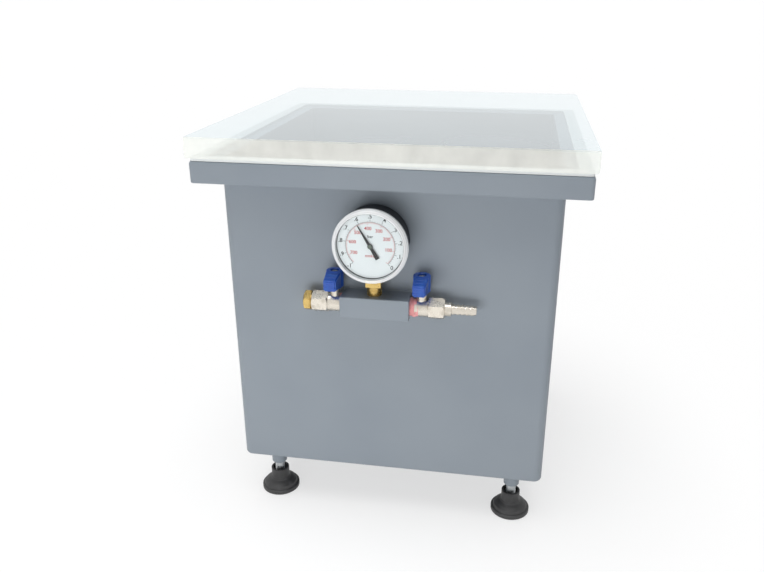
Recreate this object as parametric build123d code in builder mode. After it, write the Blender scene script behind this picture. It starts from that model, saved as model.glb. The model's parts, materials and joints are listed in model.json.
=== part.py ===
from build123d import *
import math
import os

# Degassing vacuum chamber: a folded steel box with a welded top flange, a loose acrylic lid on a
# silicone gasket, a manifold block with a dial gauge and two mini ball valves, and four levelling
# feet.  Millimetres.  +Z is up, -Y is the front, and the origin is at the middle of the base.

# ---------------------------------------------------------------- driving dimensions
TANK_SIZE = 310.0            # outside width and depth of the folded box
TANK_WALL = 4.0
TANK_CORNER = 8.0            # outside radius of the folded edges
TANK_BOTTOM = 54.0           # height of the floor's underside over the ground
TANK_TOP = 352.0
BASE_EDGE = 4.0

FLANGE_SIZE = 352.0
FLANGE_THICK = 20.0
FLANGE_CORNER = 3.5
FLANGE_EDGE = 3.0
FLANGE_LOWER_EDGE = 1.0

GASKET_OUTER = 350.0
GASKET_INNER = 304.0
GASKET_THICK = 2.5

LID_SIZE = 356.0
LID_THICK = 19.0
LID_EDGE = 0.6

BLOCK_LEFT = -41.0
BLOCK_RIGHT = 23.0
BLOCK_DEPTH = 25.0
BLOCK_BOTTOM = 233.0
BLOCK_TOP = 253.0
BLOCK_EDGE = 0.5

PORT_RADIUS = 13.157 / 2     # wall of a G1/4 threaded port
PORT_DEPTH = 11.5
THREAD_RADIUS = 13.0 / 2     # outside of the male threads
THREAD_LENGTH = 11.0
PASSAGE_RADIUS = 3.0

HOUSING_RADIUS = 8.5
HOUSING_HALF = 6.25
HEX_FLATS = 18.0
HEX_LENGTH = 15.5
BALL_RADIUS = 5.0
CAVITY_RADIUS = 5.5
VENT_EXPOSED = 0.0           # male thread left showing between block and valve
PUMP_EXPOSED = 4.0
PUMP_HANDLE_REST = -10.0     # degrees: the pump lever stands a little past square

LEVER_REACH = 26.5
LEVER_WIDTH = 12.5
LEVER_TAPER = 0.4            # each side draws in by this much at the nose
NOSE_ROUND = 1.5
HUB_RADIUS = 7.6
LEVER_BASE = 16.5            # lever's underside over the valve's axis
LEVER_TOP = 31.5

GAUGE_X = -10.5
GAUGE_Z = 305.0
CASE_RADIUS = 31.25
CASE_BACK = 9.5              # gauge case behind and in front of the stem's centre line
CASE_FRONT = 18.5
CASE_WALL = 1.2
WINDOW_RADIUS = 34.0
WINDOW_BACK = 15.5
WINDOW_FRONT = 22.5
NEEDLE_TURN = 31.0           # degrees left of twelve o'clock at rest

FOOT_X = 126.0
FOOT_Y = 129.0
PAD_RADIUS = 20.0
NECK_RADIUS = 9.5
NECK_TOP = 25.0
STUD_RADIUS = 5.0
BUSH_RADIUS = 8.0
BUSH_BOTTOM = 33.0

# ---------------------------------------------------------------- derived places
FRONT_FACE = -TANK_SIZE / 2
BLOCK_FRONT = FRONT_FACE - BLOCK_DEPTH
PIPE_Y = FRONT_FACE - BLOCK_DEPTH / 2
PIPE_Z = (BLOCK_BOTTOM + BLOCK_TOP) / 2
# The turned pump lever's nose corner is the front-most point, and the lid's back edge the rearmost:
# the object is centred over the origin between the two.
REST_ANGLE = math.radians(abs(PUMP_HANDLE_REST))
LEVER_FRONT = PIPE_Y - NOSE_ROUND - (LEVER_REACH - NOSE_ROUND) * math.cos(REST_ANGLE) - (
    LEVER_WIDTH / 2 - LEVER_TAPER - NOSE_ROUND) * math.sin(REST_ANGLE)
SHIFT_Y = -(LEVER_FRONT + LID_SIZE / 2) / 2
FRONT_FACE += SHIFT_Y
BLOCK_FRONT += SHIFT_Y
PIPE_Y += SHIFT_Y
FLANGE_TOP = TANK_TOP + FLANGE_THICK
LID_BOTTOM = FLANGE_TOP + GASKET_THICK
VENT_X = BLOCK_LEFT - VENT_EXPOSED - HOUSING_HALF
PUMP_X = BLOCK_RIGHT + PUMP_EXPOSED + HOUSING_HALF
TANK_INSIDE = TANK_SIZE - 2 * TANK_WALL
HEX_START = HOUSING_HALF
HEX_END = HOUSING_HALF + HEX_LENGTH

os.makedirs("parts", exist_ok=True)


def save(part, name):
    """Label one finished piece and write its STEP file."""
    part.label = name
    export_step(part, f"parts/{name}.step")


def outline(frame, points):
    """A closed flat outline drawn on a plane, ready for revolve or extrude."""
    with BuildSketch(frame) as flat:
        with BuildLine():
            Polyline(*points, close=True)
        make_face()
    return flat.sketch


def level(height):
    """The horizontal plane over the tank's centre, at a height."""
    return Plane((0, SHIFT_Y, height))


def outward(x, direction):
    """A valve's plane: its x axis runs out along the pipe and its y axis is up."""
    return Plane((x, PIPE_Y, PIPE_Z), x_dir=(direction, 0, 0), z_dir=(0, -direction, 0))


def pipe_axis(frame):
    return Axis(frame.origin, frame.x_dir)


# ---------------------------------------------------------------- tank, flange, gasket and lid
def tank_shell():
    with BuildPart() as shell:
        with BuildSketch(level(TANK_BOTTOM)):
            RectangleRounded(TANK_SIZE, TANK_SIZE, TANK_CORNER)
        extrude(amount=TANK_TOP - TANK_BOTTOM)
        fillet(shell.edges().group_by(Axis.Z)[0], BASE_EDGE)
        with BuildSketch(level(TANK_BOTTOM + TANK_WALL)):
            RectangleRounded(TANK_INSIDE, TANK_INSIDE, TANK_CORNER - TANK_WALL)
        extrude(amount=TANK_TOP, mode=Mode.SUBTRACT)
        with BuildSketch(Plane((GAUGE_X, FRONT_FACE, PIPE_Z), x_dir=(1, 0, 0), z_dir=(0, -1, 0))):
            Circle(PASSAGE_RADIUS)
        extrude(amount=-2 * TANK_WALL, mode=Mode.SUBTRACT)
    save(shell.part, "tank_shell")


def top_flange():
    with BuildPart() as flange:
        with BuildSketch(level(TANK_TOP)):
            RectangleRounded(FLANGE_SIZE, FLANGE_SIZE, FLANGE_CORNER)
            RectangleRounded(TANK_INSIDE, TANK_INSIDE, TANK_CORNER - TANK_WALL, mode=Mode.SUBTRACT)
        extrude(amount=FLANGE_THICK)
        top_face = flange.faces().sort_by(Axis.Z)[-1]
        fillet(top_face.outer_wire().edges(), FLANGE_EDGE)
        bottom_face = flange.faces().sort_by(Axis.Z)[0]
        fillet(bottom_face.outer_wire().edges(), FLANGE_LOWER_EDGE)
    save(flange.part, "top_flange")


def lid_gasket():
    with BuildPart() as gasket:
        with BuildSketch(level(FLANGE_TOP)):
            RectangleRounded(GASKET_OUTER, GASKET_OUTER, FLANGE_CORNER)
            RectangleRounded(GASKET_INNER, GASKET_INNER, TANK_CORNER - TANK_WALL, mode=Mode.SUBTRACT)
        extrude(amount=GASKET_THICK)
    save(gasket.part, "lid_gasket")


def lid():
    with BuildPart() as plate:
        with BuildSketch(level(LID_BOTTOM)):
            Rectangle(LID_SIZE, LID_SIZE)
        extrude(amount=LID_THICK)
        chamfer(plate.edges(), LID_EDGE)
    save(plate.part, "lid")


# ---------------------------------------------------------------- manifold and valves
def manifold_block():
    middle = (BLOCK_LEFT + BLOCK_RIGHT) / 2
    length = BLOCK_RIGHT - BLOCK_LEFT
    with BuildPart() as block:
        with BuildSketch(Plane((middle, PIPE_Y, BLOCK_BOTTOM))):
            Rectangle(length, BLOCK_DEPTH)
        extrude(amount=BLOCK_TOP - BLOCK_BOTTOM)
        back_edges = block.edges().group_by(Axis.Y)[-1]
        chamfer(block.edges() - back_edges, BLOCK_EDGE)
        with BuildSketch(Plane((middle, PIPE_Y, PIPE_Z), x_dir=(0, 1, 0), z_dir=(1, 0, 0))):
            Circle(PASSAGE_RADIUS)
        extrude(amount=length / 2, both=True, mode=Mode.SUBTRACT)
        for end, inward in ((BLOCK_LEFT, 1), (BLOCK_RIGHT, -1)):
            with BuildSketch(Plane((end, PIPE_Y, PIPE_Z), x_dir=(0, 1, 0), z_dir=(inward, 0, 0))):
                Circle(PORT_RADIUS)
            extrude(amount=PORT_DEPTH, mode=Mode.SUBTRACT)
        with BuildSketch(Plane((GAUGE_X, PIPE_Y, BLOCK_TOP), z_dir=(0, 0, -1))):
            Circle(PORT_RADIUS)
        extrude(amount=BLOCK_TOP - PIPE_Z, mode=Mode.SUBTRACT)
        with BuildSketch(Plane((GAUGE_X, PIPE_Y, PIPE_Z), x_dir=(1, 0, 0), z_dir=(0, 1, 0))):
            Circle(PASSAGE_RADIUS)
        extrude(amount=BLOCK_DEPTH / 2, mode=Mode.SUBTRACT)
    save(block.part, "manifold_block")


BOSS_RADIUS = 4.75
BOSS_TOP = LEVER_BASE - 0.5
STEM_RADIUS = 2.4
STEM_CLEARANCE = 0.05
STEM_SQUARE = 3.4
STEM_TOP = 24.0
BALL_SLOT = 1.6
SLOT_DEPTH = 1.2
BLADE_WIDTH = 3.2             # the stem's blade in the ball's slot
SEAT_OUTER_FACE = 5.75
SEAT_INNER_FACE = 3.2
SEAT_LIP = 4.1               # where the conical seat face meets the passage
SEAT_MOUTH = 3.95
RETAINER_LENGTH = 3.5


def valve_body(prefix, frame):
    with BuildPart() as body:
        revolve(outline(frame, [
            (-HOUSING_HALF - THREAD_LENGTH, 0), (-HOUSING_HALF - THREAD_LENGTH, THREAD_RADIUS - 0.8),
            (-HOUSING_HALF - THREAD_LENGTH + 0.8, THREAD_RADIUS), (-HOUSING_HALF, THREAD_RADIUS),
            (-HOUSING_HALF, HOUSING_RADIUS - 0.5), (-HOUSING_HALF + 0.5, HOUSING_RADIUS),
            (HEX_START, HOUSING_RADIUS), (HEX_START, 0)]), axis=pipe_axis(frame))
        hex_plane = Plane(frame.origin + frame.x_dir * HEX_START, x_dir=frame.y_dir, z_dir=frame.x_dir)
        with BuildSketch(hex_plane):
            RegularPolygon(HEX_FLATS / 2, 6, major_radius=False)
        extrude(amount=HEX_LENGTH)
        across_corners = HEX_FLATS / math.sqrt(3)
        revolve(outline(frame, [
            (HEX_START, HEX_FLATS / 2 - 0.2), (HEX_START + 1.2, across_corners + 0.1),
            (HEX_START, across_corners + 0.1)]), axis=pipe_axis(frame), mode=Mode.SUBTRACT)
        revolve(outline(frame, [
            (HEX_END, HEX_FLATS / 2 - 0.2), (HEX_END - 1.2, across_corners + 0.1),
            (HEX_END, across_corners + 0.1)]), axis=pipe_axis(frame), mode=Mode.SUBTRACT)
        with BuildSketch(Plane(frame.origin)):
            Circle(BOSS_RADIUS)
        extrude(amount=BOSS_TOP)
        revolve(outline(frame, [
            (-HOUSING_HALF - THREAD_LENGTH, 0), (-HOUSING_HALF - THREAD_LENGTH, PASSAGE_RADIUS),
            (-SEAT_OUTER_FACE, PASSAGE_RADIUS), (-SEAT_OUTER_FACE, CAVITY_RADIUS),
            (HEX_END - THREAD_LENGTH, CAVITY_RADIUS), (HEX_END - THREAD_LENGTH, PORT_RADIUS),
            (HEX_END, PORT_RADIUS), (HEX_END, 0)]), axis=pipe_axis(frame), mode=Mode.SUBTRACT)
        with BuildSketch(Plane(frame.origin)):
            Circle(STEM_RADIUS + STEM_CLEARANCE)
        extrude(amount=BOSS_TOP, mode=Mode.SUBTRACT)
    save(body.part, f"{prefix}_valve_body")


def valve_retainer(prefix, frame):
    with BuildPart() as ring:
        revolve(outline(frame, [
            (SEAT_OUTER_FACE, PASSAGE_RADIUS), (SEAT_OUTER_FACE, CAVITY_RADIUS),
            (SEAT_OUTER_FACE + RETAINER_LENGTH, CAVITY_RADIUS),
            (SEAT_OUTER_FACE + RETAINER_LENGTH, PASSAGE_RADIUS)]), axis=pipe_axis(frame))
    save(ring.part, f"{prefix}_valve_retainer")


def valve_seats(prefix, frame):
    with BuildPart() as seats:
        for side in (-1, 1):
            revolve(outline(frame, [
                (side * SEAT_INNER_FACE, SEAT_MOUTH), (side * SEAT_INNER_FACE, CAVITY_RADIUS),
                (side * SEAT_OUTER_FACE, CAVITY_RADIUS), (side * SEAT_OUTER_FACE, PASSAGE_RADIUS),
                (side * SEAT_LIP, PASSAGE_RADIUS)]), axis=pipe_axis(frame))
    save(seats.part, f"{prefix}_valve_seats")


def valve_ball(prefix, frame):
    """The ball stands shut: its bore lies across the pipe, and its slot takes the stem's blade."""
    with BuildPart() as ball:
        with Locations(frame.origin):
            Sphere(BALL_RADIUS)
        with BuildSketch(Plane(frame.origin, z_dir=(0, 1, 0))):
            Circle(PASSAGE_RADIUS)
        extrude(amount=BALL_RADIUS, both=True, mode=Mode.SUBTRACT)
        with BuildSketch(Plane(frame.origin + Vector(0, 0, BALL_RADIUS))):
            Rectangle(BALL_SLOT, 2 * BALL_RADIUS)
        extrude(amount=-SLOT_DEPTH, mode=Mode.SUBTRACT)
    save(ball.part, f"{prefix}_valve_ball")


def valve_stem(prefix, frame):
    with BuildPart() as stem:
        with BuildSketch(Plane(frame.origin + Vector(0, 0, BALL_RADIUS))):
            Circle(STEM_RADIUS)
        extrude(amount=LEVER_BASE + 0.5 - BALL_RADIUS)
        with BuildSketch(Plane(frame.origin + Vector(0, 0, BALL_RADIUS - SLOT_DEPTH))):
            Rectangle(BALL_SLOT, BLADE_WIDTH)
        extrude(amount=SLOT_DEPTH)
        with BuildSketch(Plane(frame.origin + Vector(0, 0, LEVER_BASE + 0.5))):
            Rectangle(STEM_SQUARE, STEM_SQUARE)
        extrude(amount=STEM_TOP - LEVER_BASE - 0.5)
    save(stem.part, f"{prefix}_valve_stem")


SCREW_HEAD_RADIUS = 3.4
SCREW_WELL_RADIUS = 4.0
SCREW_WELL_DEPTH = 2.6
GRIP_PITCH = 4.6
GRIP_DEPTH = 0.5
NOSE_TOP = 28.0


def valve_handle(prefix, frame, turn):
    """The blue lever: a round hub and a blunt wedge that reaches out over the pipe."""
    hub = Plane(frame.origin).rotated((0, 0, turn))
    side = Plane(hub.origin, x_dir=-hub.y_dir, z_dir=-hub.x_dir)
    with BuildPart() as handle:
        with BuildSketch(Plane(hub.origin + Vector(0, 0, LEVER_BASE), x_dir=hub.x_dir, z_dir=(0, 0, 1))):
            Circle(HUB_RADIUS)
            with BuildLine():
                Polyline((-LEVER_WIDTH / 2, 0), (-LEVER_WIDTH / 2 + LEVER_TAPER, -LEVER_REACH),
                         (LEVER_WIDTH / 2 - LEVER_TAPER, -LEVER_REACH), (LEVER_WIDTH / 2, 0), close=True)
            make_face()
        extrude(amount=LEVER_TOP - LEVER_BASE)
        nose_edges = handle.edges().filter_by(Axis.Z).sort_by(Axis(hub.origin, -hub.y_dir))[-2:]
        fillet(nose_edges, NOSE_ROUND)
        slope = outline(side, [
            (HUB_RADIUS - 1, LEVER_TOP + 0.1), (HUB_RADIUS - 1, LEVER_TOP),
            (LEVER_REACH + 0.1, NOSE_TOP), (LEVER_REACH + 0.1, LEVER_TOP + 0.1)])
        extrude(slope, amount=LEVER_WIDTH, both=True, mode=Mode.SUBTRACT)
        for row in (1, 2):
            height = LEVER_BASE + row * GRIP_PITCH - 0.8
            groove = outline(side, [
                (LEVER_REACH + 0.1, height - 0.5), (LEVER_REACH - GRIP_DEPTH, height),
                (LEVER_REACH + 0.1, height + 0.5)])
            extrude(groove, amount=LEVER_WIDTH, both=True, mode=Mode.SUBTRACT)
        with BuildSketch(Plane(hub.origin + Vector(0, 0, LEVER_TOP))):
            Circle(SCREW_WELL_RADIUS)
        extrude(amount=-SCREW_WELL_DEPTH, mode=Mode.SUBTRACT)
        with BuildSketch(Plane(hub.origin + Vector(0, 0, LEVER_BASE))):
            Circle(STEM_RADIUS)
        extrude(amount=0.5, mode=Mode.SUBTRACT)
        with BuildSketch(Plane(frame.origin + Vector(0, 0, LEVER_BASE))):
            Rectangle(STEM_SQUARE, STEM_SQUARE)
        extrude(amount=LEVER_TOP - LEVER_BASE, mode=Mode.SUBTRACT)
    save(handle.part, f"{prefix}_handle")


def handle_screw(prefix, frame):
    seat = LEVER_TOP - SCREW_WELL_DEPTH
    with BuildPart() as screw:
        with BuildSketch(Plane(frame.origin + Vector(0, 0, seat))):
            Circle(SCREW_HEAD_RADIUS)
        extrude(amount=1.8)
        fillet(screw.edges().sort_by(Axis.Z)[-1], 0.8)
        with BuildSketch(Plane(frame.origin + Vector(0, 0, seat + 1.8))):
            Rectangle(4.0, 0.9)
            Rectangle(0.9, 4.0)
        extrude(amount=-0.9, mode=Mode.SUBTRACT)
        with BuildSketch(Plane(frame.origin + Vector(0, 0, seat))):
            Circle(1.5)
        extrude(amount=STEM_TOP - seat)
    save(screw.part, f"{prefix}_handle_screw")


PLUG_FLATS = 17.0
PLUG_HEAD = 8.0
PLUG_THREAD = 8.0
BLEED_RADIUS = 2.5


def vent_plug(frame):
    """Brass hex plug with a bleed hole, screwed into the vent valve's outer port."""
    corners = PLUG_FLATS / math.sqrt(3)
    end = HEX_END + PLUG_HEAD
    with BuildPart() as plug:
        revolve(outline(frame, [
            (HEX_END - PLUG_THREAD, 0), (HEX_END - PLUG_THREAD, THREAD_RADIUS),
            (HEX_END, THREAD_RADIUS), (HEX_END, 0)]), axis=pipe_axis(frame))
        with BuildSketch(Plane(frame.origin + frame.x_dir * HEX_END, x_dir=frame.y_dir, z_dir=frame.x_dir)):
            RegularPolygon(PLUG_FLATS / 2, 6, major_radius=False)
        extrude(amount=PLUG_HEAD)
        revolve(outline(frame, [
            (end, PLUG_FLATS / 2 - 1.2), (end - 1.6, corners + 0.1), (end, corners + 0.1)]),
            axis=pipe_axis(frame), mode=Mode.SUBTRACT)
        revolve(outline(frame, [
            (HEX_END, PLUG_FLATS / 2 - 0.6), (HEX_END + 1.0, PLUG_FLATS / 2 - 0.6),
            (HEX_END + 1.0, corners + 0.1), (HEX_END, corners + 0.1)]),
            axis=pipe_axis(frame), mode=Mode.SUBTRACT)
        revolve(outline(frame, [
            (HEX_END - PLUG_THREAD, 0), (HEX_END - PLUG_THREAD, BLEED_RADIUS),
            (end, BLEED_RADIUS), (end, 0)]),
            axis=pipe_axis(frame), mode=Mode.SUBTRACT)
    save(plug.part, "vent_plug")


TAIL_SHOULDER_RADIUS = 6.6
TAIL_SHOULDER = 6.0
BARB_COUNT = 5
BARB_PITCH = 4.2
BARB_OUTER = 5.2
BARB_INNER = 4.4
TAIL_BORE = 2.75
SEALANT_SWELL = 1.6


def hose_tail(frame):
    """Nickelled hose tail: thread, round shoulder and a row of saw-tooth barbs."""
    barb_start = HEX_END + TAIL_SHOULDER
    profile = [(HEX_END - PLUG_THREAD, TAIL_BORE), (HEX_END - PLUG_THREAD, THREAD_RADIUS),
               (HEX_END, THREAD_RADIUS), (HEX_END, TAIL_SHOULDER_RADIUS),
               (barb_start - 0.5, TAIL_SHOULDER_RADIUS), (barb_start, TAIL_SHOULDER_RADIUS - 0.5),
               (barb_start, BARB_INNER)]
    for barb in range(BARB_COUNT):
        root = barb_start + barb * BARB_PITCH
        profile += [(root + 0.6, BARB_INNER), (root + 0.6, BARB_OUTER), (root + BARB_PITCH, BARB_INNER)]
    tip = barb_start + BARB_COUNT * BARB_PITCH + 1.4
    profile += [(tip, BARB_INNER - 0.3), (tip, TAIL_BORE)]
    with BuildPart() as tail:
        revolve(outline(frame, profile), axis=pipe_axis(frame))
    save(tail.part, "hose_tail")


def thread_sealant(prefix, frame, length, swell):
    """Set thread sealant squeezed out round the male thread against the block."""
    start = -HOUSING_HALF - length
    with BuildPart() as bead:
        revolve(outline(frame, [
            (start, THREAD_RADIUS), (start, THREAD_RADIUS + swell),
            (start + 0.4 * length, THREAD_RADIUS + 0.8 * swell),
            (-HOUSING_HALF, THREAD_RADIUS + 0.35 * swell), (-HOUSING_HALF, THREAD_RADIUS)]),
            axis=pipe_axis(frame))
    save(bead.part, f"{prefix}_thread_sealant")


def ball_valve(prefix, frame, turn):
    valve_body(prefix, frame)
    valve_retainer(prefix, frame)
    valve_seats(prefix, frame)
    valve_ball(prefix, frame)
    valve_stem(prefix, frame)
    valve_handle(prefix, frame, turn)
    handle_screw(prefix, frame)


# ---------------------------------------------------------------- gauge
SOCKET_FLATS = 14.0
COLLAR_HEIGHT = 9.0
BLOCK_TIP = 22.5             # the socket's tip block ends this far under the gauge's centre
CASE_INNER = CASE_RADIUS - CASE_WALL
DIAL_Y = PIPE_Y - 17.0       # the dial's front face
DIAL_RADIUS = 29.7
DIAL_THICK = 0.6
LENS_RADIUS = 30.0
LENS_THICK = 1.5
NEEDLE_LIFT = 1.6            # the pointer's front face over the dial
NEEDLE_THICK = 0.5
NEEDLE_LENGTH = 21.5
NEEDLE_TAIL = 13.0
ARBOR_RADIUS = 0.6
ARBOR_CLEARANCE = 0.05
PLATE_THICK = 1.0
PLATE_WIDTH = 19.0
PLATE_HEIGHT = 31.0
PLATE_RISE = 4.0             # the plates' middle over the sector's pivot
FRONT_PLATE = 2.4            # movement plates, behind the dial's face
BACK_PLATE = 9.0
GEAR_PLACE = 4.6
GEAR_THICK = 1.4
GEAR_MODULE = 0.4
PINION_TEETH = 8
SECTOR_TEETH = 72
SECTOR_FIRST = -6            # tooth gaps left and right of the centre line at rest
SECTOR_LAST = 5
MESH_GAP = 0.12
PINION_PITCH = GEAR_MODULE * PINION_TEETH / 2
SECTOR_PITCH = GEAR_MODULE * SECTOR_TEETH / 2
MESH_DISTANCE = PINION_PITCH + SECTOR_PITCH + MESH_GAP
PIVOT_Z = GAUGE_Z - MESH_DISTANCE
TAIL_REACH = 5.6
LINK_PLACE = 7.0
LINK_THICK = 0.8
TUBE_RADIUS = 22.0
TUBE_THICK = 3.0
TUBE_WIDTH = 9.0
TUBE_WALL = 0.5
TUBE_START = 17.0            # degrees round from the bottom
TUBE_SWEEP = 238.0


def facing(y, x=GAUGE_X, z=GAUGE_Z):
    """A plane that faces the front, with its x axis to the right and its y axis up."""
    return Plane((x, y, z), x_dir=(1, 0, 0), z_dir=(0, -1, 0))


def gauge_case():
    depth = CASE_BACK + CASE_FRONT
    with BuildPart() as case:
        with BuildSketch(facing(PIPE_Y + CASE_BACK)):
            Circle(CASE_RADIUS)
        extrude(amount=depth)
        fillet(case.edges().sort_by(Axis.Y)[-1], 2.0)
        with BuildSketch(facing(PIPE_Y + CASE_BACK - CASE_WALL)):
            Circle(CASE_INNER)
        extrude(amount=depth, mode=Mode.SUBTRACT)
        with BuildSketch(Plane((GAUGE_X, PIPE_Y, GAUGE_Z - CASE_RADIUS - 1))):
            Rectangle(SOCKET_FLATS, SOCKET_FLATS)
        extrude(amount=CASE_RADIUS / 2, mode=Mode.SUBTRACT)
    save(case.part, "gauge_case")


def gauge_window():
    """Clear snap-in window: a stepped rim over the case and a flat lens."""
    back = PIPE_Y - WINDOW_BACK
    front = PIPE_Y - WINDOW_FRONT
    frame = Plane((GAUGE_X, 0, GAUGE_Z), x_dir=(0, 1, 0), z_dir=(-1, 0, 0))
    with BuildPart() as window:
        revolve(outline(frame, [
            (back, CASE_RADIUS), (back, WINDOW_RADIUS - 0.8), (back - 0.8, WINDOW_RADIUS),
            (front + 2.6, WINDOW_RADIUS), (front + 2.2, WINDOW_RADIUS - 0.8),
            (front + 1.2, WINDOW_RADIUS - 1.2), (front, WINDOW_RADIUS - 2.6),
            (front, LENS_RADIUS + 0.6), (front + 0.8, LENS_RADIUS), (front + 0.8, 0),
            (front + 0.8 + LENS_THICK, 0), (front + 0.8 + LENS_THICK, CASE_RADIUS - CASE_WALL),
            (PIPE_Y - CASE_FRONT, CASE_RADIUS - CASE_WALL), (PIPE_Y - CASE_FRONT, CASE_RADIUS)]),
            axis=Axis((GAUGE_X, 0, GAUGE_Z), (0, 1, 0)))
    save(window.part, "gauge_window")


def gauge_socket():
    """Brass stem: threaded tail, wrench square and the tip block that holds tube and movement."""
    with BuildPart() as socket:
        with BuildSketch(Plane((GAUGE_X, PIPE_Y, PIPE_Z + PASSAGE_RADIUS + 1))):
            Circle(THREAD_RADIUS)
        extrude(amount=BLOCK_TOP + COLLAR_HEIGHT - PIPE_Z - PASSAGE_RADIUS - 1)
        with BuildSketch(Plane((GAUGE_X, PIPE_Y, BLOCK_TOP + COLLAR_HEIGHT))):
            Rectangle(SOCKET_FLATS, SOCKET_FLATS)
        extrude(amount=GAUGE_Z - BLOCK_TIP - BLOCK_TOP - COLLAR_HEIGHT)
        with BuildSketch(Plane((GAUGE_X, PIPE_Y, PIPE_Z))):
            Circle(TAIL_BORE - 0.25)
        extrude(amount=GAUGE_Z - TUBE_RADIUS - PIPE_Z - 3, mode=Mode.SUBTRACT)
    save(socket.part, "gauge_socket")


def gauge_dial():
    with BuildPart() as dial:
        with BuildSketch(facing(DIAL_Y)):
            Circle(DIAL_RADIUS)
            Circle(1.6, mode=Mode.SUBTRACT)
        extrude(amount=-DIAL_THICK)
    save(dial.part, "gauge_dial")


def gear_points(teeth, pitch, first, last, turn):
    """Tooth corners from the first to the last tooth; the angle turn is a tooth's middle."""
    step = 360 / teeth
    points = []
    for tooth in range(first, last + 1):
        middle = turn + tooth * step
        for radius, share in ((pitch - 0.5, -0.24), (pitch, -0.18), (pitch + 0.32, -0.07),
                              (pitch + 0.32, 0.07), (pitch, 0.18), (pitch - 0.5, 0.24)):
            angle = math.radians(middle + share * step)
            points.append((radius * math.cos(angle), radius * math.sin(angle)))
    return points


def gauge_needle():
    """Pointer, its boss, and the arbor with the pinion, which turn as one."""
    front = DIAL_Y - NEEDLE_LIFT
    tilt = math.radians(90 + NEEDLE_TURN)
    along = Vector(math.cos(tilt), 0, math.sin(tilt))
    pointer_plane = Plane((GAUGE_X, front, GAUGE_Z), x_dir=along, z_dir=(0, -1, 0))
    with BuildPart() as needle:
        with BuildSketch(pointer_plane):
            with BuildLine():
                Polyline((-NEEDLE_TAIL, -1.9), (-3, -1.3), (0, -1.3), (NEEDLE_LENGTH, -0.3),
                         (NEEDLE_LENGTH, 0.3), (0, 1.3), (-3, 1.3), (-NEEDLE_TAIL, 1.9), close=True)
            make_face()
            Circle(2.4)
        extrude(amount=-NEEDLE_THICK)
        with BuildSketch(facing(front)):
            Circle(1.9)
        extrude(amount=0.7)
        with BuildSketch(facing(front)):
            Circle(ARBOR_RADIUS)
        extrude(amount=-(NEEDLE_LIFT + BACK_PLATE + PLATE_THICK))
        with BuildSketch(facing(DIAL_Y + GEAR_PLACE - 0.3)):
            with BuildLine():
                Polyline(*gear_points(PINION_TEETH, PINION_PITCH, 0, PINION_TEETH - 1, -90), close=True)
            make_face()
        extrude(amount=-(GEAR_THICK + 0.6))
    save(needle.part, "gauge_needle")


def sector_gear():
    step = 360 / SECTOR_TEETH
    teeth = gear_points(SECTOR_TEETH, SECTOR_PITCH, SECTOR_FIRST, SECTOR_LAST, 90 + step / 2)
    half_span = math.radians((SECTOR_LAST - SECTOR_FIRST + 1.4) / 2 * step)
    rim = SECTOR_PITCH - 3.2
    window = [(0.5 * rim * math.sin(side * half_span), 0.5 * rim * math.cos(half_span)) for side in (-0.5, 0.5)]
    window += [(rim * math.sin(side * half_span), rim * math.cos(side * half_span)) for side in (0.6, 0, -0.6)]
    with BuildPart() as sector:
        with BuildSketch(facing(DIAL_Y + GEAR_PLACE, z=PIVOT_Z)):
            with BuildLine():
                Polyline(*teeth, (-2.2, 0), (-1.5, -TAIL_REACH), (1.5, -TAIL_REACH), (2.2, 0), close=True)
            make_face()
            with Locations((0, -TAIL_REACH)):
                Circle(1.5)
            Circle(2.4)
            with BuildLine():
                Polyline(*window, close=True)
            make_face(mode=Mode.SUBTRACT)
        extrude(amount=-GEAR_THICK)
        with BuildSketch(facing(DIAL_Y + FRONT_PLATE, z=PIVOT_Z)):
            Circle(ARBOR_RADIUS)
        extrude(amount=-(BACK_PLATE + PLATE_THICK - FRONT_PLATE))
        with BuildSketch(facing(DIAL_Y + GEAR_PLACE, z=PIVOT_Z - TAIL_REACH)):
            Circle(ARBOR_RADIUS)
        extrude(amount=-(LINK_PLACE + LINK_THICK + 0.3 - GEAR_PLACE))
    save(sector.part, "sector_gear")


def movement_plates():
    """Two brass plates, held apart by pillars and standing on the socket's tip block."""
    with BuildPart() as plates:
        for place in (FRONT_PLATE, BACK_PLATE):
            with BuildSketch(facing(DIAL_Y + place, z=PIVOT_Z + PLATE_RISE)):
                RectangleRounded(PLATE_WIDTH, PLATE_HEIGHT, 2.5)
                with Locations((0, -PLATE_RISE), (0, MESH_DISTANCE - PLATE_RISE)):
                    Circle(ARBOR_RADIUS + ARBOR_CLEARANCE, mode=Mode.SUBTRACT)
            extrude(amount=-PLATE_THICK)
        with BuildSketch(facing(DIAL_Y + FRONT_PLATE, z=PIVOT_Z)):
            with Locations((7.6, -9.5), (-7.6, 16.5), (7.6, 16.5)):
                Circle(1.3)
        extrude(amount=-(BACK_PLATE - FRONT_PLATE))
    save(plates.part, "movement_plates")


def bourdon_tube():
    """Flattened spring tube, bent to a C from the tip block to its sealed end."""
    half = TUBE_THICK / 2
    axis = Axis((GAUGE_X, PIPE_Y, GAUGE_Z), (0, -1, 0))
    start = math.radians(TUBE_START - 90)
    radial = Vector(math.cos(start), 0, math.sin(start))
    section = Plane(Vector(GAUGE_X, PIPE_Y, GAUGE_Z) + radial * TUBE_RADIUS, x_dir=radial,
                    z_dir=Vector(0, -1, 0).cross(radial))
    with BuildPart() as tube:
        with BuildSketch(section):
            RectangleRounded(TUBE_THICK, TUBE_WIDTH, half - 0.1)
            RectangleRounded(TUBE_THICK - 2 * TUBE_WALL, TUBE_WIDTH - 2 * TUBE_WALL,
                             half - TUBE_WALL - 0.1, mode=Mode.SUBTRACT)
        revolve(axis=axis, revolution_arc=TUBE_SWEEP)
    save(tube.part, "bourdon_tube")


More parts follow.
